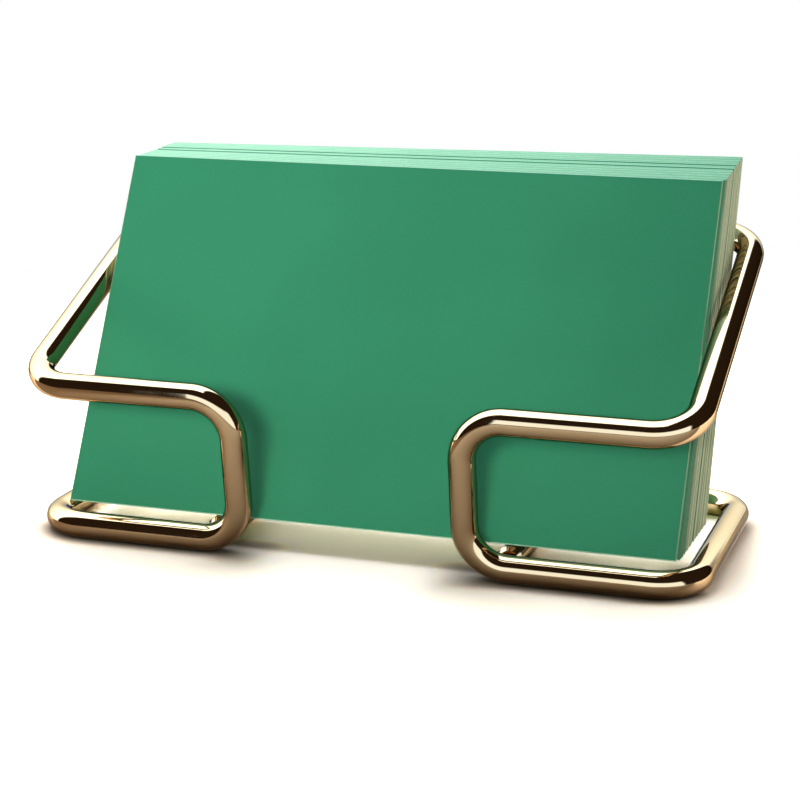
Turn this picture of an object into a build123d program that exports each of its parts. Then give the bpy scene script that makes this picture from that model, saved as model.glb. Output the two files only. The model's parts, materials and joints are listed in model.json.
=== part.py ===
"""Business card holder stand: one continuous bent wire that carries a leaning stack of loose cards.

Frame: +X to the viewer's right, +Y to the back, +Z up. The origin is on the desk, at the middle of the feet.
Lengths are in millimetres and angles in degrees.
"""
import os
from math import cos, radians, sin, sqrt, tan

from build123d import *

# Wire
wire_diameter = 3.8
bend_radius = 6.0
end_chamfer = 0.5

# Feet, which lie on the desk
foot_half_width = 47.5
foot_depth = 39.4
riser_half_gap = 16.5
inner_run_half_gap = 21.6
free_end_gap = 1.6

# Front lip, and the arms that rise from it to the top bar
lip_height = 23.1
lip_overhang = 2.8
arm_rise = 23.1
bar_level = 43.0

# Cards: three packets that fan a little towards the back
card_width = 90.0
card_height = 54.0
card_thickness = 0.39
card_count = 26
front_packet_count = 13
middle_packet_count = 3
card_gap = 0.09
packet_gap = 0.46
front_lean = 28.5
front_card_gap = 1.9
card_lift = 46.0

# How the cards lie between the arms: level and to the left at the front, tipped and to the right at the back
front_card_shift = -0.38
second_card_shift = 0.0
back_card_shift = 0.85
back_card_tip = 0.86
shuffle_reach = 0.06
shuffle_turn = 137.5

# Clearances: cards to the wire, cards between the arms, and card to card when one is lifted out
rest_clearance = 0.1
card_side_play = 0.8
slide_clearance = 0.01

wire_radius = wire_diameter / 2
arm_half_width = card_width / 2 + card_side_play + wire_radius
front_run_y = -foot_depth / 2
back_run_y = foot_depth / 2
lip_y = front_run_y - lip_overhang
free_end_y = front_run_y + wire_radius + free_end_gap


def card_depth(index):
    """Place of a card in the stack, from 0 at the front to 1 at the back."""
    return index / (card_count - 1)


def card_tip(index):
    """In-plane turn of a card, right side up, in degrees."""
    return back_card_tip * card_depth(index)


def tip_raise(index):
    """Lift along a tipped card's face that takes its lower edge clear of the inner run on its low side."""
    return inner_run_half_gap * tan(radians(card_tip(index)))


def gaps_ahead(index):
    """Count of plain gaps, and of packet gaps, in front of a card."""
    packet_starts = (front_packet_count, front_packet_count + middle_packet_count)
    packet_gaps = sum(index >= start for start in packet_starts)
    return index - packet_gaps, packet_gaps


def closing_angle(gap):
    """Angle between two neighbours that closes their gap only at the top of a full lift, in radians."""
    back = card_count - 1
    reach = card_height + card_width / 2 * sin(radians(back_card_tip)) + tip_raise(back) + card_lift
    return (gap - slide_clearance) / reach


def card_lean(index):
    """Lean of a card from upright, in radians: each one stands a little steeper than the one before it."""
    plain, packet = gaps_ahead(index)
    return radians(front_lean) - plain * closing_angle(card_gap) - packet * closing_angle(packet_gap)


def card_foot(index):
    """Middle of a card's lower front edge, which stands clear of the inner runs."""
    lean = card_lean(index)
    plain, packet = gaps_ahead(index)
    offset = index * card_thickness + plain * card_gap + packet * packet_gap
    rise = tip_raise(index)
    foot_y = front_run_y + wire_radius + front_card_gap + offset / cos(radians(front_lean))
    foot_z = wire_diameter + rest_clearance + card_thickness * sin(lean)
    return card_shift(index), foot_y + rise * sin(lean), foot_z + rise * cos(lean)


def card_shift(index):
    """Sideways place of the middle of a card's lower edge."""
    if index == 0:
        return front_card_shift
    drift = (back_card_shift - second_card_shift) * card_depth(index)
    return second_card_shift + drift + shuffle_reach * cos(radians(shuffle_turn * index))


def bar_axis():
    """Axis of the top bar (y, z), where the arms' line meets the line behind the last card.

    The last card's side edges meet the bends at the ends of the bar before its face meets the bar.
    """
    back = card_count - 1
    lean = card_lean(back)
    rise = radians(arm_rise)
    foot_x, foot_y, foot_z = card_foot(back)
    upper_x = foot_x - bar_level * sin(radians(card_tip(back)))
    inner_bend = bend_radius - wire_radius
    edge_in_bend = max(inner_bend - card_side_play + abs(upper_x), 0)
    bend_reach = inner_bend - sqrt(inner_bend**2 - edge_in_bend**2)
    behind = card_thickness + rest_clearance + wire_radius + bend_reach * cos(lean + rise)
    line_start = foot_y + (lip_height - foot_z) * tan(lean) + behind / cos(lean)
    run = (line_start - lip_y) / (1 - tan(rise) * tan(lean))
    return lip_y + run, lip_height + run * tan(rise)


def wire_half(side):
    """Corners of the wire's axis on one side (+1 right, -1 left), from the free end up to the top bar."""
    return [
        (side * inner_run_half_gap, free_end_y, wire_radius),
        (side * inner_run_half_gap, back_run_y, wire_radius),
        (side * foot_half_width, back_run_y, wire_radius),
        (side * foot_half_width, front_run_y, wire_radius),
        (side * riser_half_gap, front_run_y, wire_radius),
        (side * riser_half_gap, lip_y, lip_height),
        (side * arm_half_width, lip_y, lip_height),
        (side * arm_half_width, *bar_axis()),
    ]


os.makedirs("parts", exist_ok=True)

# The holder: one wire, bent to one radius at every corner
with BuildPart() as wire_frame:
    with BuildLine() as wire_axis:
        FilletPolyline(*wire_half(-1), *reversed(wire_half(1)), radius=bend_radius)
    with BuildSketch(Plane(origin=wire_axis.line @ 0, z_dir=wire_axis.line % 0)):
        Circle(wire_radius)
    sweep(path=wire_axis.line)
    chamfer(wire_frame.faces().filter_by(GeomType.PLANE).edges(), end_chamfer)

wire_frame.part.label = "wire_frame"
export_step(wire_frame.part, "parts/wire_frame.step")

# The cards, front to back
for index in range(card_count):
    lean = card_lean(index)
    card_face = Plane(origin=card_foot(index), x_dir=(1, 0, 0), z_dir=(0, -cos(lean), sin(lean)))
    with BuildPart() as card:
        with BuildSketch(card_face):
            Rectangle(card_width, card_height, rotation=card_tip(index), align=(Align.CENTER, Align.MIN))
        extrude(amount=-card_thickness)

    card.part.label = f"card_{index + 1:02d}"
    export_step(card.part, f"parts/{card.part.label}.step")
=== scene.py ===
"""Business card holder stand: a polished bent wire with a leaning stack of cards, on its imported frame.

Lengths are in metres, in the frame of the CAD model: +X to the right, +Y to the back, +Z up.
"""

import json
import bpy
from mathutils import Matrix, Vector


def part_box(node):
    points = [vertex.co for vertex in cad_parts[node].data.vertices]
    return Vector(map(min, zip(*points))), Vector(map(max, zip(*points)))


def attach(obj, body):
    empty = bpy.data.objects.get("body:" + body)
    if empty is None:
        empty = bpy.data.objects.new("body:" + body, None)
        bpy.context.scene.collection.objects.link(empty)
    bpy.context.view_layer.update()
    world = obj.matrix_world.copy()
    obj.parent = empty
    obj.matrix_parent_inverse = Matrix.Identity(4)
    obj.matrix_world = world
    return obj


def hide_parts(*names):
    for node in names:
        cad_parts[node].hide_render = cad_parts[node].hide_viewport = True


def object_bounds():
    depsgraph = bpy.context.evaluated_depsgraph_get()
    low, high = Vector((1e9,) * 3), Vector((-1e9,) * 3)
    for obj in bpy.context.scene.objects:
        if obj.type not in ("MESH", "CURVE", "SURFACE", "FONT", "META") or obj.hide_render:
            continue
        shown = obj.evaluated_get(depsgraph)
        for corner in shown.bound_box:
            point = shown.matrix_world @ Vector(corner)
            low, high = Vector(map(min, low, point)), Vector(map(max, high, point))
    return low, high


bl_info = {
    "name": "Business Card Holder Stand",
    "version": (1, 0, 0),
    "blender": (4, 5, 0),
    "location": "3D View > Sidebar > Card Holder",
    "description": "Builds a bent wire card holder, the cards that stand in it and a small studio",
    "category": "Object",
}

from math import cos, radians, tan
from typing import NamedTuple

import bmesh
import bpy
from bpy.props import FloatProperty, FloatVectorProperty, IntProperty, PointerProperty
from mathutils import Matrix, Vector

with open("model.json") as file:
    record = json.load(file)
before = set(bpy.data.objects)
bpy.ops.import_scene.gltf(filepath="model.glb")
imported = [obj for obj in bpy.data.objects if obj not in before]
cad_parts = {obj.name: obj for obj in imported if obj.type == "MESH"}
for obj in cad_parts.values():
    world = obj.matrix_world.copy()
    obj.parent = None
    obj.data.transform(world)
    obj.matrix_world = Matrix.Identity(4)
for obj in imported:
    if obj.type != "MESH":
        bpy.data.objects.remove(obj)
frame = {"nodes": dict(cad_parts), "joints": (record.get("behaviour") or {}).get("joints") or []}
CAD_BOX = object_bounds()
CARD_NODES = sorted(name for name in frame["nodes"] if name.startswith("card_"))

# Plating: how fine each pattern is, where its patches start and are full, and how far it shows
DRIFT_SCALE = 45.0
DRIFT_PATCHES = (0.35, 0.65)
SMEAR_SCALE = 160.0
SMEAR_DETAIL = 4.0
SMEAR_PATCHES = (0.42, 0.70)
SMEAR_ROUGHNESS = 0.05
POLISH_ROUGHNESS = 0.05
RIPPLE_SCALE = 900.0
RIPPLE_DETAIL = 3.0
RIPPLE_STRENGTH = 0.03
RIPPLE_HEIGHT = 0.0001

# Card stock: the same, with the darkest shades as shares of the full colour
GRAIN_SCALE = 5200.0
GRAIN_DETAIL = 3.0
GRAIN_ROUGHNESS = 0.6
GRAIN_STRENGTH = 0.12
GRAIN_HEIGHT = 0.00002
CLOUD_SCALE = 38.0
CLOUD_SHARE = 0.6
FACE_PATCHES = (0.35, 0.65)
FACE_DRIFT = 0.06
DARK_TOP_EDGE = 0.72
DARK_SIDE_EDGE = 0.45
FACE_ROUGHNESS = 0.46
EDGE_ROUGHNESS = 0.78
STOCK_GLOSS = 0.4

# Cards' zones: the flatness of a face, the turn between neighbours' shades, and the front cards' painted
# edge shade
FLAT_FACE = 0.985
SHADE_TURN = radians(137.5)
EDGE_SHADE_FADE = 4
EDGE_SHADE_LOST_AT_TOP = 4
FRONT_EDGE_SHADE_SHARE = 0.6
STOCK_EDGE_SHADE_SHARE = 1.0

# Surround in the polish: soft edges (start, full) of two bright panels, as X, Y or Z of a direction
CEILING_FRONT = (-0.28, -0.20)
CEILING_HORIZON = (-0.02, 0.02)
CEILING_RIGHT = (0.36, 0.44)
CEILING_RIGHT_SLANT = 0.33
CEILING_TINT = (0.70, 0.85, 1.0)
CEILING_GAIN = 3.6
WINDOW_BACK = (-0.40, -0.30)
WINDOW_LEFT = (-0.41, -0.36)
WINDOW_SILL = (-0.06, 0.0)
WINDOW_HEAD = (0.44, 0.54)
WINDOW_TINT = (0.64, 0.80, 1.0)
WINDOW_GAIN = 1.6
WHITE = (1.0, 1.0, 1.0)
BLACK = (0.0, 0.0, 0.0)

# Floor in the polish, with painted shadow in front: soft edges of its zones, from the middle of the feet
# to the front, right or back
NEAR_START = 0.02
NEAR_DEPTH = 0.13
NEAR_FADE = 0.5
NEAR_LEFT = (-0.04, 0.01)
FAR_LEFT = (-0.07, -0.035)
FRONT_EDGE = (0.014, 0.022)
BEHIND_EDGE = (0.06, 0.12)
BEHIND_RIGHT = (0.10, 0.16)

# Floor as the camera sees it: the opening of the left foot, raised by painted light, and where the floor
# is lost in white
LEFT_FOOT_FRONT = (-0.017, -0.008)
LEFT_FOOT_BACK = (0.03, 0.05)
LEFT_FOOT_LEFT = (-0.052, -0.045)
LEFT_FOOT_RIGHT = (-0.024, -0.012)
FLOOR_LOST = (0.10, 0.22)

# Contact shade on the floor, in front of the feet and along the right one
CONTACT_REACH = 0.018
CONTACT_SAMPLES = 16
CONTACT_STEEPNESS = 2.2
CONTACT_DARKEST = 0.97
CONTACT_FRONT = (0.010, 0.017)
CONTACT_SIDE = (0.046, 0.050)
CONTACT_OUTER_END = (0.050, 0.057)
CONTACT_MIDDLE_GAP = (0.008, 0.016)
CONTACT_MIDDLE_SHARE = 0.3
CONTACT_POLISH_SHARE = 0.45


class Lamp(NamedTuple):
    """A softbox: where it hangs, the size of its panel, its tint and the angle that it spreads over."""

    spot: tuple
    size: tuple
    tint: tuple
    spread: float = radians(180)


KEY_LAMP = Lamp(spot=(-0.10, 0.44, 0.87), size=(1.0, 0.8), tint=(0.79, 0.87, 1.0))
FILL_LAMP = Lamp(spot=(0.03, -0.55, 0.20), size=(0.18, 0.10), tint=(1.0, 0.96, 0.88), spread=radians(22))
BACK_LAMP = Lamp(spot=(-0.36, 0.42, 0.16), size=(0.6, 0.26), tint=(1.0, 0.90, 0.74))
LEFT_LAMP = Lamp(spot=(-0.45, 0.03, 0.12), size=(0.3, 0.16), tint=(1.0, 0.94, 0.82))
RIGHT_LAMP = Lamp(spot=(0.50, 0.25, 0.25), size=(0.2, 0.2), tint=(0.97, 1.0, 0.86))

# The fill is aimed at the upper left of the cards, at these shares of the CAD box's left and top
FILL_AIM_LEFT = 0.7
FILL_AIM_TOP = 0.9

# Camera: the width of its sensor in millimetres, and the nearest distance that it sees
CAMERA_SENSOR = 36.0
CAMERA_CLIP_START = 0.01


def length(label, description, default):
    """A size in metres."""
    return FloatProperty(
        name=label,
        description=description,
        default=default,
        min=0.0,
        precision=5,
        unit="LENGTH",
        subtype="DISTANCE",
    )


def angle(label, description, default):
    """An angle in radians."""
    return FloatProperty(
        name=label, description=description, default=default, unit="ROTATION", subtype="ANGLE"
    )


def count(label, description, default, lowest):
    """A whole number."""
    return IntProperty(name=label, description=description, default=default, min=lowest)


def watts(label, description, default):
    """A lamp's power."""
    return FloatProperty(name=label, description=description, default=default, min=0.0, unit="POWER")


def colour(label, description, default):
    """A linear colour."""
    return FloatVectorProperty(
        name=label, description=description, default=default, min=0.0, max=1.0, size=3, subtype="COLOR"
    )


def bright_colour(label, description, default):
    """A linear colour that may pass white."""
    return FloatVectorProperty(name=label, description=description, default=default, min=0.0, size=3)


def place(label, description, default):
    """A point in metres."""
    return FloatVectorProperty(
        name=label, description=description, default=default, size=3, subtype="TRANSLATION"
    )


class WireSettings(bpy.types.PropertyGroup):
    """Sizes and finish of the bent wire."""

    diameter: length("Wire Diameter", "Thickness of the round wire", 0.0038)
    bend_radius: length("Bend Radius", "Radius of the wire's axis in every bend", 0.006)
    end_chamfer: length("End Chamfer", "Broken edge of the two cut ends", 0.0005)
    foot_half_width: length("Foot Half Width", "Middle to the axis of a side run on the desk", 0.0475)
    foot_depth: length("Foot Depth", "Front run to back run on the desk, axis to axis", 0.0394)
    riser_half_gap: length("Riser Half Gap", "Middle to the axis of a front riser", 0.0165)
    inner_run_half_gap: length("Inner Run Half Gap", "Middle to the axis of a run under the cards", 0.0216)
    free_end_gap: length("Free End Gap", "Front run to a free end of the wire", 0.0016)
    lip_height: length("Lip Height", "Desk to the axis of the front lip", 0.0231)
    ring_sides: count("Ring Sides", "Sides of the wire's round section", 64, 12)
    bend_steps: count("Bend Steps", "Steps along a bend", 18, 4)
    sharp_angle: angle("Sharp Angle", "Edges that turn further stay crisp", radians(30))
    plating: colour("Plating", "Pale gold of the polished plating", (0.61, 0.435, 0.25))
    plating_deep: colour("Deep Plating", "Rosier cast that drifts along the plating", (0.57, 0.395, 0.22))
    edge_tint: colour("Edge Tint", "Dulling of the plating where it is seen edge on", (0.17, 0.20, 0.25))


class CardSettings(bpy.types.PropertyGroup):
    """Sizes and finish of the cards."""

    width: length("Card Width", "Long side of a card", 0.09)
    height: length("Card Height", "Short side of a card", 0.054)
    thickness: length("Card Thickness", "Thickness of the card stock", 0.00039)
    edge_round: length("Edge Round", "Softness of the cut edges", 0.00013)
    edge_steps: count("Edge Steps", "Steps round a softened edge", 3, 1)
    face: colour("Face", "Printed face of the cards", (0.040, 0.295, 0.152))
    # Partly painted light: the top and bottom edges are drawn bright mint as if lit, and the side edges
    # duller beige as if shaded
    top_edge: colour("Upper Edge", "Cut edges along the top and the bottom", (0.52, 0.95, 0.70))
    side_edge: colour("Side Edge", "Cut edges at the sides", (0.64, 0.69, 0.47))
    # Painted shade: the side edges of the front cards are drawn darker and greener, over more cards at the
    # foot
    shaded_front_edge: colour("Shaded Front Edge", "Greened side edges of the front cards", (0.12, 0.26, 0.155))
    shaded_front_cards: count("Shaded Front Cards", "Front cards with greened side edges, at the foot", 8, 0)


class StageSettings(bpy.types.PropertyGroup):
    """Floor, lamps and camera of the small studio."""

    floor_reach: length("Floor Reach", "Half the side of the floor", 0.9)
    floor: colour("Floor", "Pale floor, as it lights the matt surfaces", (0.52, 0.50, 0.46))
    floor_seen: bright_colour("Floor Seen", "Pale floor, as the camera sees it", (1.85, 1.63, 1.41))
    # Painted light: the floor inside the left foot is drawn brighter, as if more light reached it
    floor_lit_in_foot: bright_colour("Floor Under", "The same inside the left foot", (2.7, 2.35, 2.0))
    floor_far: colour("Far Floor", "Open floor, as the polish reflects it", (0.84, 0.82, 0.78))
    # Painted shadow: the holder's shadow on the floor in front of it, as the polish sees it; also used for
    # the far floor at the left
    floor_front_shade: colour("Near Floor", "The same in front of the holder", (0.28, 0.20, 0.15))
    floor_left: colour("Left Floor", "The same at the left, where more light falls", (0.37, 0.27, 0.205))
    room: colour("Room", "Dark room that the polish reflects", (0.03, 0.02, 0.013))
    ambient: colour("Ambient", "Dim light from all round", (0.065, 0.058, 0.045))
    key_power: watts("Key Power", "Overhead softbox", 10.4)
    fill_power: watts("Fill Power", "Front fill", 0.057)
    back_power: watts("Back Power", "Low back light", 2.0)
    left_power: watts("Left Power", "Low left light", 1.3)
    right_power: watts("Right Power", "Light on the right edges", 1.5)
    lens: FloatProperty(name="Lens", description="Focal length", default=92.713, min=10.0, unit="CAMERA")
    camera_place: place("Camera Place", "Where the camera stands", (0.0937468, -0.274265, 0.0930475))
    camera_yaw: angle("Camera Yaw", "Turn to the left", radians(18.7866))
    camera_pitch: angle("Camera Pitch", "Tilt down from level", radians(14.3487))
    camera_roll: angle("Camera Roll", "Turn about the line of sight", radians(-0.1932))


class Value:
    """A socket that takes part in sums: each operator adds one Math node to its tree."""

    def __init__(self, tree, socket):
        self.tree = tree
        self.socket = socket

    def maths(self, operation, *terms):
        return self.tree.node("ShaderNodeMath", {"operation": operation}, dict(enumerate(terms)))

    def __add__(self, other):
        return self.maths("ADD", self, other)

    def __radd__(self, other):
        return self.maths("ADD", other, self)

    def __sub__(self, other):
        return self.maths("SUBTRACT", self, other)

    def __rsub__(self, other):
        return self.maths("SUBTRACT", other, self)

    def __mul__(self, other):
        return self.maths("MULTIPLY", self, other)

    def __rmul__(self, other):
        return self.maths("MULTIPLY", other, self)

    def __truediv__(self, other):
        return self.maths("DIVIDE", self, other)

    def __rtruediv__(self, other):
        return self.maths("DIVIDE", other, self)

    def power(self, other):
        return self.maths("POWER", self, other)

    def minimum(self, other):
        return self.maths("MINIMUM", self, other)

    def maximum(self, other):
        return self.maths("MAXIMUM", self, other)

    def clamped(self):
        return self.maximum(0.0).minimum(1.0)


class NodeTree:
    """The nodes of a material or a world, built from expressions."""

    def __init__(self, owner):
        owner.use_nodes = True
        self.owner = owner
        self.nodes = owner.node_tree.nodes
        self.links = owner.node_tree.links
        self.nodes.clear()

    def node(self, kind, settings=None, inputs=None, output=0):
        """Adds a node, applies its settings, sets or links its sockets, and gives one of its outputs."""
        made = self.nodes.new(kind)
        for name, setting in (settings or {}).items():
            setattr(made, name, setting)
        for name, entry in (inputs or {}).items():
            socket = made.inputs[name]
            if isinstance(entry, Value):
                self.links.new(entry.socket, socket)
            elif hasattr(socket.default_value, "__len__") and len(socket.default_value) == len(entry) + 1:
                socket.default_value = (*entry, 1.0)
            else:
                socket.default_value = entry
        if not made.outputs:
            return made
        return Value(self, made.outputs[output])

    def outputs(self, kind, names, inputs=None):
        """Several outputs of one new node."""
        sockets = self.node(kind, None, inputs).socket.node.outputs
        return [Value(self, sockets[name]) for name in names]

    def axes(self, vector):
        """The X, Y and Z parts of a vector."""
        return self.outputs("ShaderNodeSeparateXYZ", "XYZ", {"Vector": vector})

    def rays(self, *kinds):
        """1 for light paths of each kind, and 0 for others."""
        return self.outputs("ShaderNodeLightPath", [f"Is {kind} Ray" for kind in kinds])

    def mix(self, factor, first, second):
        """Blend of two colours."""
        settings = {"data_type": "RGBA"}
        return self.node("ShaderNodeMix", settings, {0: factor, 6: first, 7: second}, output=2)

    def ease(self, entry, edge):
        """0 before a soft edge starts, 1 where it is full, and a smooth step between them."""
        settings = {"interpolation_type": "SMOOTHSTEP"}
        start, full = edge
        inputs = {"Value": entry, "From Min": start, "From Max": full}
        return self.node("ShaderNodeMapRange", settings, inputs)

    def band(self, entry, first_edge, last_edge):
        """1 between two soft edges, and 0 outside them."""
        return self.ease(entry, first_edge) * (1 - self.ease(entry, last_edge))

    def noise(self, vector, scale, detail=2.0, roughness=0.5):
        """Fractal noise about 0.5."""
        inputs = {"Vector": vector, "Scale": scale, "Detail": detail, "Roughness": roughness}
        return self.node("ShaderNodeTexNoise", None, inputs)

    def bump(self, height, strength, distance):
        """A surface normal tilted by a height."""
        inputs = {"Strength": strength, "Distance": distance, "Height": height}
        return self.node("ShaderNodeBump", None, inputs)

    def attribute(self, name):
        """A number that the mesh carries."""
        return self.node("ShaderNodeAttribute", {"attribute_name": name}, output="Fac")


def new_finish(name):
    """A material with an empty node tree."""
    return NodeTree(bpy.data.materials.new(name))


def surface(finish, inputs):
    """Closes a material with one Principled shader."""
    shader = finish.node("ShaderNodeBsdfPrincipled", None, inputs)
    finish.node("ShaderNodeOutputMaterial", None, {"Surface": shader})
    return finish.owner


def wire_finish(wire):
    """Polished plating: a slow drift of colour, faint smears from handling and fine drawn-wire ripple."""
    finish = new_finish("polished_wire_finish")
    spot = finish.node("ShaderNodeTexCoord", output="Object")
    drift = finish.ease(finish.noise(spot, DRIFT_SCALE), DRIFT_PATCHES)
    smear = finish.ease(finish.noise(spot, SMEAR_SCALE, SMEAR_DETAIL), SMEAR_PATCHES)
    ripple = finish.noise(spot, RIPPLE_SCALE, RIPPLE_DETAIL)
    return surface(
        finish,
        {
            "Base Color": finish.mix(drift, wire.plating, wire.plating_deep),
            "Metallic": 1.0,
            "Specular Tint": wire.edge_tint,
            "Roughness": POLISH_ROUGHNESS + SMEAR_ROUGHNESS * smear,
            "Normal": finish.bump(ripple, RIPPLE_STRENGTH, RIPPLE_HEIGHT),
        },
    )


def shaded(shade, share):
    """A colour times a share, no brighter than white."""
    return tuple(min(channel * share, 1.0) for channel in shade)


def card_finish(name, cards, edge_shade_share):
    """Card stock: a smooth printed face with paper grain, and cut edges that show the stock and painted
    light.

    Each card's edges have their own shade. The side edges of the front cards carry painted shade, darker
    and greener, reaching further back at the foot than at the top.
    """
    finish = new_finish(name)
    spot = finish.node("ShaderNodeTexCoord", output="Object")
    grain = finish.noise(spot, GRAIN_SCALE, GRAIN_DETAIL, GRAIN_ROUGHNESS)
    cloud = finish.noise(spot, CLOUD_SCALE)
    drift = finish.ease(CLOUD_SHARE * cloud + (1 - CLOUD_SHARE) * grain, FACE_PATCHES)
    face = finish.mix(drift, shaded(cards.face, 1 - FACE_DRIFT), shaded(cards.face, 1 + FACE_DRIFT))
    tone = finish.attribute("tone")
    # Partly painted light: top and bottom edges take the bright mint and side edges the duller beige, each
    # varied by the card's tone
    top = finish.mix(tone, shaded(cards.top_edge, DARK_TOP_EDGE), cards.top_edge)
    side = finish.mix(tone, shaded(cards.side_edge, DARK_SIDE_EDGE), cards.side_edge)
    _, up, _ = finish.axes(finish.node("ShaderNodeUVMap", {"uv_map": "card_face"}))
    # Painted shade on the front cards' side edges, fading back through the stack and narrowing towards the
    # top
    edge_shade_mask = (cards.shaded_front_cards - finish.attribute("place") - EDGE_SHADE_LOST_AT_TOP * up) / EDGE_SHADE_FADE
    side = finish.mix(edge_shade_mask.clamped() * edge_shade_share, side, cards.shaded_front_edge)
    top_edge = finish.attribute("top_edge")
    side_edge = finish.attribute("side_edge")
    edge = top_edge.maximum(side_edge)
    return surface(
        finish,
        {
            "Base Color": finish.mix(side_edge, finish.mix(top_edge, face, top), side),
            "Roughness": FACE_ROUGHNESS + (EDGE_ROUGHNESS - FACE_ROUGHNESS) * edge,
            "Normal": finish.bump(grain, GRAIN_STRENGTH, GRAIN_HEIGHT),
            "Specular IOR Level": STOCK_GLOSS,
        },
    )


def finished_piece(name, bm, material, body):
    """Turns a bmesh into a piece that rides on a body of the frame."""
    mesh = bpy.data.meshes.new(name)
    bm.to_mesh(mesh)
    bm.free()
    mesh.materials.append(material)
    piece = bpy.data.objects.new(name, mesh)
    bpy.context.scene.collection.objects.link(piece)
    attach(piece, body)
    return piece


def wire_corners(wire):
    """Corners of the wire's axis, from the left free end, over the top bar, to the right free end."""
    radius = wire.diameter / 2
    low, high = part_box("wire_frame")
    front_run = -wire.foot_depth / 2
    back_run = wire.foot_depth / 2
    lip_y = low[1] + radius
    arm_x = high[0] - radius
    bar_y = high[1] - radius
    bar_z = high[2] - radius

    def half(side):
        return [
            Vector((side * wire.inner_run_half_gap, front_run + radius + wire.free_end_gap, radius)),
            Vector((side * wire.inner_run_half_gap, back_run, radius)),
            Vector((side * wire.foot_half_width, back_run, radius)),
            Vector((side * wire.foot_half_width, front_run, radius)),
            Vector((side * wire.riser_half_gap, front_run, radius)),
            Vector((side * wire.riser_half_gap, lip_y, wire.lip_height)),
            Vector((side * arm_x, lip_y, wire.lip_height)),
            Vector((side * arm_x, bar_y, bar_z)),
        ]

    return half(-1) + half(1)[::-1]


def edges_of(geometry):
    """The edges among a bmesh operator's results."""
    return [item for item in geometry if isinstance(item, bmesh.types.BMEdge)]


def vertices_of(geometry):
    """The vertices among a bmesh operator's results."""
    return [item for item in geometry if isinstance(item, bmesh.types.BMVert)]


def run_straight(bm, ring, step):
    """Extrudes a ring of edges by a step, and gives the new ring."""
    grown = bmesh.ops.extrude_edge_only(bm, edges=ring)["geom"]
    fresh = vertices_of(grown)
    bmesh.ops.translate(bm, verts=fresh, vec=step)
    return [edge for edge in edges_of(grown) if all(vert in fresh for vert in edge.verts)]


def bend_wire(bm, corners, wire):
    """Carries a round section along the corners: a straight run to each bend, then a spin round it."""
    heading = (corners[1] - corners[0]).normalized()
    facing = Vector((0, 0, 1)).rotation_difference(heading).to_matrix().to_4x4()
    bmesh.ops.create_circle(
        bm,
        segments=wire.ring_sides,
        radius=wire.diameter / 2,
        matrix=Matrix.Translation(corners[0]) @ facing,
    )
    ring = list(bm.edges)
    reached = corners[0]
    for corner, following in zip(corners[1:-1], corners[2:]):
        leaving = (following - corner).normalized()
        turn = heading.angle(leaving)
        setback = wire.bend_radius * tan(turn / 2)
        bend_start = corner - heading * setback
        ring = run_straight(bm, ring, bend_start - reached)
        axis = heading.cross(leaving).normalized()
        centre = bend_start + axis.cross(heading) * wire.bend_radius
        ring_vertices = list({vert for edge in ring for vert in edge.verts})
        spun = bmesh.ops.spin(
            bm, geom=ring_vertices + ring, cent=centre, axis=axis, angle=turn, steps=wire.bend_steps
        )
        ring = edges_of(spun["geom_last"])
        reached = corner + leaving * setback
        heading = leaving
    run_straight(bm, ring, corners[-1] - reached)


class CARDHOLDER_OT_bend_wire(bpy.types.Operator):
    """Bend the holder from one polished wire"""

    bl_idname = "card_holder.bend_wire"
    bl_label = "Bend the Wire Holder"

    def execute(self, context):
        wire = context.scene.holder_wire
        bm = bmesh.new()
        bend_wire(bm, wire_corners(wire), wire)
        open_edges = [edge for edge in bm.edges if edge.is_boundary]
        caps = bmesh.ops.holes_fill(bm, edges=open_edges, sides=wire.ring_sides)["faces"]
        rims = list({edge for cap in caps for edge in cap.edges})
        bmesh.ops.bevel(
            bm, geom=rims, offset=wire.end_chamfer, segments=1, profile=0.5, affect="EDGES", material=-1
        )
        bmesh.ops.recalc_face_normals(bm, faces=bm.faces)
        for face in bm.faces:
            face.smooth = True
        for edge in bm.edges:
            edge.smooth = edge.calc_face_angle(0.0) < wire.sharp_angle
        holder = finished_piece("holder_wire", bm, wire_finish(wire), "holder")
        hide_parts("wire_frame")
        return {"FINISHED"}


def card_axes(node):
    """Middle, and directions across, up and out of the face, of a card at rest."""
    joint = next(entry for entry in frame["joints"] if entry["name"] == f"{node}_lift_out")
    up = Vector(joint["axis"]).normalized()
    outward = Vector((0, -up.z, up.y)).normalized()
    across = up.cross(outward).normalized()
    low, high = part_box(node)
    return (Vector(low) + Vector(high)) / 2, across, up, outward


def flat_card(cards):
    """A card about the origin, face up, with softened edges."""
    bm = bmesh.new()
    bmesh.ops.create_cube(bm, size=1.0)
    bmesh.ops.scale(bm, verts=bm.verts, vec=(cards.width, cards.height, cards.thickness))
    bmesh.ops.bevel(
        bm,
        geom=bm.edges,
        offset=cards.edge_round,
        segments=cards.edge_steps,
        profile=0.5,
        affect="EDGES",
        material=-1,
    )
    bm.normal_update()
    return bm


def mark_card(bm, number):
    """Gives a flat card's faces their zones, the card's shade and place in the stack, and a UV map."""
    zones = {name: bm.faces.layers.float.new(name) for name in ("top_edge", "side_edge", "tone", "place")}
    uv_map = bm.loops.layers.uv.new("card_face")
    tone = (1 + cos(SHADE_TURN * number)) / 2
    low = Vector(min(vert.co[axis] for vert in bm.verts) for axis in range(3))
    high = Vector(max(vert.co[axis] for vert in bm.verts) for axis in range(3))
    for face in bm.faces:
        normal = face.normal
        cut = abs(normal.z) < FLAT_FACE
        face[zones["top_edge"]] = float(cut and abs(normal.y) >= abs(normal.x))
        face[zones["side_edge"]] = float(cut and abs(normal.y) < abs(normal.x))
        face[zones["tone"]] = tone
        face[zones["place"]] = number
        for loop in face.loops:
            along = loop.vert.co - low
            loop[uv_map].uv = (along.x / (high.x - low.x), along.y / (high.y - low.y))


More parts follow.
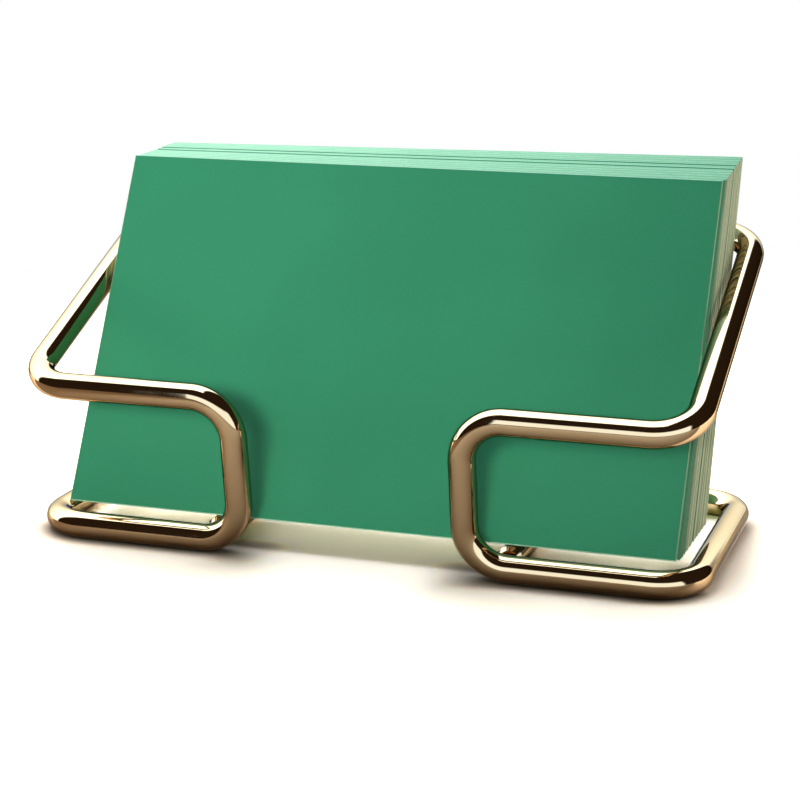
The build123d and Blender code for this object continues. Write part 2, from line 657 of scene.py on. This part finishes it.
class CARDHOLDER_OT_stack_cards(bpy.types.Operator):
    """Stand the cards in the holder, front to back"""

    bl_idname = "card_holder.stack_cards"
    bl_label = "Stack the Cards"

    def execute(self, context):
        cards = context.scene.holder_cards
        # The front card takes part of the painted edge shade, and the cards behind it take all of it
        front_finish = card_finish("front_card_finish", cards, FRONT_EDGE_SHADE_SHARE)
        stock_finish = card_finish("card_stock_finish", cards, STOCK_EDGE_SHADE_SHARE)
        for number, node in enumerate(CARD_NODES):
            middle, across, up, outward = card_axes(node)
            bm = flat_card(cards)
            mark_card(bm, number)
            stand = Matrix((across, up, outward)).transposed().to_4x4()
            bmesh.ops.transform(bm, matrix=Matrix.Translation(middle) @ stand, verts=bm.verts)
            bmesh.ops.recalc_face_normals(bm, faces=bm.faces)
            front = number == 0
            finish = front_finish if front else stock_finish
            card = finished_piece(f"{node}_stock", bm, finish, node)
            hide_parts(node)
        return {"FINISHED"}


def studio_surround(stage):
    """White for the camera, dim for matt surfaces, and a dark room with bright panels for the polish.

    The ceiling reaches down to the horizon behind the holder, and stops at a dark gap at the right. The
    window is a low panel in front.
    """
    world = bpy.data.worlds.new("studio_surround")
    bpy.context.scene.world = world
    tree = NodeTree(world)
    right, back, height = tree.axes(tree.node("ShaderNodeTexCoord", output="Generated"))
    camera, glossy, transmitted = tree.rays("Camera", "Glossy", "Transmission")
    ceiling = tree.ease(back, CEILING_FRONT) * tree.ease(height, CEILING_HORIZON)
    ceiling = ceiling * (1 - tree.ease(right + CEILING_RIGHT_SLANT * height, CEILING_RIGHT))
    window = (1 - tree.ease(back, WINDOW_BACK)) * tree.band(height, WINDOW_SILL, WINDOW_HEAD)
    window = window * tree.ease(right, WINDOW_LEFT)
    room = tree.mix(ceiling, stage.room, CEILING_TINT)
    room = tree.mix(window, room, WINDOW_TINT)
    polished = glossy.maximum(transmitted)
    shown = tree.mix(camera, tree.mix(polished, stage.ambient, room), WHITE)
    bright = 1 + polished * (ceiling * CEILING_GAIN + window * WINDOW_GAIN)
    light = tree.node("ShaderNodeBackground", None, {"Color": shown, "Strength": bright})
    tree.node("ShaderNodeOutputWorld", None, {"Surface": light})


def reflected_floor(finish, stage, right, back):
    """Floor as the polish sees it: painted shadow dim close in front, open further out, and dark as the
    room behind.
    """
    # Painted shadow of the holder, fading out ahead; painted light makes it lighter at the left
    ahead = ((0 - back - NEAR_START) / NEAR_DEPTH).clamped().power(NEAR_FADE)
    front_shade_colour = finish.mix(finish.ease(right, NEAR_LEFT), stage.floor_left, stage.floor_front_shade)
    far = finish.mix(finish.ease(right, FAR_LEFT), stage.floor_front_shade, stage.floor_far)
    in_front = finish.ease(0 - back, FRONT_EDGE)
    front = finish.mix(in_front, stage.floor_seen, finish.mix(ahead, front_shade_colour, far))
    behind = finish.ease(back, BEHIND_EDGE) * (1 - finish.ease(right, BEHIND_RIGHT))
    return finish.mix(behind, front, stage.room)


def viewed_floor(finish, stage, right, back):
    """Floor as the camera sees it: white where it is lit, and raised by painted light inside the left
    foot.
    """
    in_foot = finish.band(back, LEFT_FOOT_FRONT, LEFT_FOOT_BACK)
    in_foot = in_foot * finish.band(right, LEFT_FOOT_LEFT, LEFT_FOOT_RIGHT)
    return finish.mix(in_foot, stage.floor_seen, stage.floor_lit_in_foot)


def contact_shade(finish, right, back, seen, polished):
    """Shade from 0 to 1 close to the wire, in front of the feet and along the right one."""
    settings = {"samples": CONTACT_SAMPLES}
    inputs = {"Distance": CONTACT_REACH}
    opening = finish.node("ShaderNodeAmbientOcclusion", settings, inputs, output="AO")
    off_middle = finish.ease(right.maximum(0 - right), CONTACT_MIDDLE_GAP)
    at_feet = CONTACT_MIDDLE_SHARE + (1 - CONTACT_MIDDLE_SHARE) * off_middle
    in_front = finish.ease(0 - back, CONTACT_FRONT) * at_feet
    in_front = in_front * seen.maximum(CONTACT_POLISH_SHARE * polished)
    beside = finish.ease(right, CONTACT_SIDE) * seen
    zone = in_front.maximum(beside) * (1 - finish.ease(right, CONTACT_OUTER_END))
    return CONTACT_DARKEST * (1 - opening.power(CONTACT_STEEPNESS)) * zone


def floor_finish(stage):
    """Pale matt floor, with contact shade under the wire, that is lost in white further out.

    The camera sees it white where it is lit, and the polish sees it dimmer.
    """
    finish = new_finish("pale_floor_finish")
    spot = finish.node("ShaderNodeTexCoord", output="Object")
    right, back, _ = finish.axes(spot)
    seen, polished = finish.rays("Camera", "Glossy")
    unseen = finish.mix(polished, stage.floor, reflected_floor(finish, stage, right, back))
    tint = finish.mix(seen, unseen, viewed_floor(finish, stage, right, back))
    tint = finish.mix(contact_shade(finish, right, back, seen, polished), tint, BLACK)
    matt = finish.node("ShaderNodeBsdfDiffuse", None, {"Color": tint})
    reach = finish.node("ShaderNodeVectorMath", {"operation": "LENGTH"}, {0: spot}, output="Value")
    white = finish.node("ShaderNodeEmission", None, {"Color": WHITE})
    lost = finish.ease(reach, FLOOR_LOST) * seen
    both = finish.node("ShaderNodeMixShader", None, {0: lost, 1: matt, 2: white})
    finish.node("ShaderNodeOutputMaterial", None, {"Surface": both})
    return finish.owner


def lay_floor(stage):
    """A square floor under the object."""
    bm = bmesh.new()
    bmesh.ops.create_grid(bm, x_segments=1, y_segments=1, size=stage.floor_reach)
    mesh = bpy.data.meshes.new("floor")
    bm.to_mesh(mesh)
    bm.free()
    mesh.materials.append(floor_finish(stage))
    floor = bpy.data.objects.new("floor", mesh)
    floor.location.z = CAD_BOX[0].z
    bpy.context.scene.collection.objects.link(floor)


def softbox(name, lamp, target, power):
    """A rectangular area lamp that shines on a target, unseen by the camera and the polish."""
    light = bpy.data.lights.new(name, "AREA")
    light.shape = "RECTANGLE"
    light.size, light.size_y = lamp.size
    light.energy = power
    light.color = lamp.tint
    light.spread = lamp.spread
    rig = bpy.data.objects.new(name, light)
    aim = (Vector(target) - Vector(lamp.spot)).to_track_quat("-Z", "Y")
    rig.matrix_world = Matrix.Translation(lamp.spot) @ aim.to_matrix().to_4x4()
    rig.visible_camera = False
    rig.visible_glossy = False
    bpy.context.scene.collection.objects.link(rig)


def hang_lamps(stage):
    """The five softboxes."""
    low, high = CAD_BOX
    middle = (low + high) / 2
    upper_left = (low.x * FILL_AIM_LEFT, middle.y, high.z * FILL_AIM_TOP)
    softbox("key_softbox", KEY_LAMP, middle, stage.key_power)
    softbox("front_fill", FILL_LAMP, upper_left, stage.fill_power)
    softbox("back_light", BACK_LAMP, middle, stage.back_power)
    softbox("left_light", LEFT_LAMP, middle, stage.left_power)
    softbox("right_light", RIGHT_LAMP, middle, stage.right_power)


def place_camera(stage):
    """The camera, at the viewing angle of the photograph."""
    lens = bpy.data.cameras.new("camera")
    lens.sensor_fit = "HORIZONTAL"
    lens.sensor_width = CAMERA_SENSOR
    lens.lens = stage.lens
    lens.clip_start = CAMERA_CLIP_START
    camera = bpy.data.objects.new("camera", lens)
    camera.matrix_world = (
        Matrix.Translation(stage.camera_place)
        @ Matrix.Rotation(stage.camera_yaw, 4, "Z")
        @ Matrix.Rotation(radians(90) - stage.camera_pitch, 4, "X")
        @ Matrix.Rotation(stage.camera_roll, 4, "Z")
    )
    bpy.context.scene.collection.objects.link(camera)
    bpy.context.scene.camera = camera


class CARDHOLDER_OT_set_stage(bpy.types.Operator):
    """Lay the floor, hang the lamps and place the camera"""

    bl_idname = "card_holder.set_stage"
    bl_label = "Set the Stage"

    def execute(self, context):
        stage = context.scene.holder_stage
        lay_floor(stage)
        studio_surround(stage)
        hang_lamps(stage)
        place_camera(stage)
        context.scene.view_settings.view_transform = "Standard"
        return {"FINISHED"}


class CARDHOLDER_PT_panel(bpy.types.Panel):
    """Settings and steps of the card holder"""

    bl_idname = "CARDHOLDER_PT_panel"
    bl_label = "Card Holder"
    bl_space_type = "VIEW_3D"
    bl_region_type = "UI"
    bl_category = "Card Holder"

    def draw(self, context):
        for group in (context.scene.holder_wire, context.scene.holder_cards, context.scene.holder_stage):
            box = self.layout.box()
            for name in group.__annotations__:
                box.prop(group, name)
        for operator in OPERATORS:
            self.layout.operator(operator.bl_idname)


OPERATORS = (CARDHOLDER_OT_bend_wire, CARDHOLDER_OT_stack_cards, CARDHOLDER_OT_set_stage)
CLASSES = (WireSettings, CardSettings, StageSettings, *OPERATORS, CARDHOLDER_PT_panel)


def register():
    for item in CLASSES:
        bpy.utils.register_class(item)
    bpy.types.Scene.holder_wire = PointerProperty(type=WireSettings)
    bpy.types.Scene.holder_cards = PointerProperty(type=CardSettings)
    bpy.types.Scene.holder_stage = PointerProperty(type=StageSettings)


def unregister():
    del bpy.types.Scene.holder_stage
    del bpy.types.Scene.holder_cards
    del bpy.types.Scene.holder_wire
    for item in reversed(CLASSES):
        bpy.utils.unregister_class(item)


def main():
    """Builds every piece and the stage."""
    register()
    bpy.ops.card_holder.bend_wire()
    bpy.ops.card_holder.stack_cards()
    bpy.ops.card_holder.set_stage()


if __name__ == "__main__":
    main()
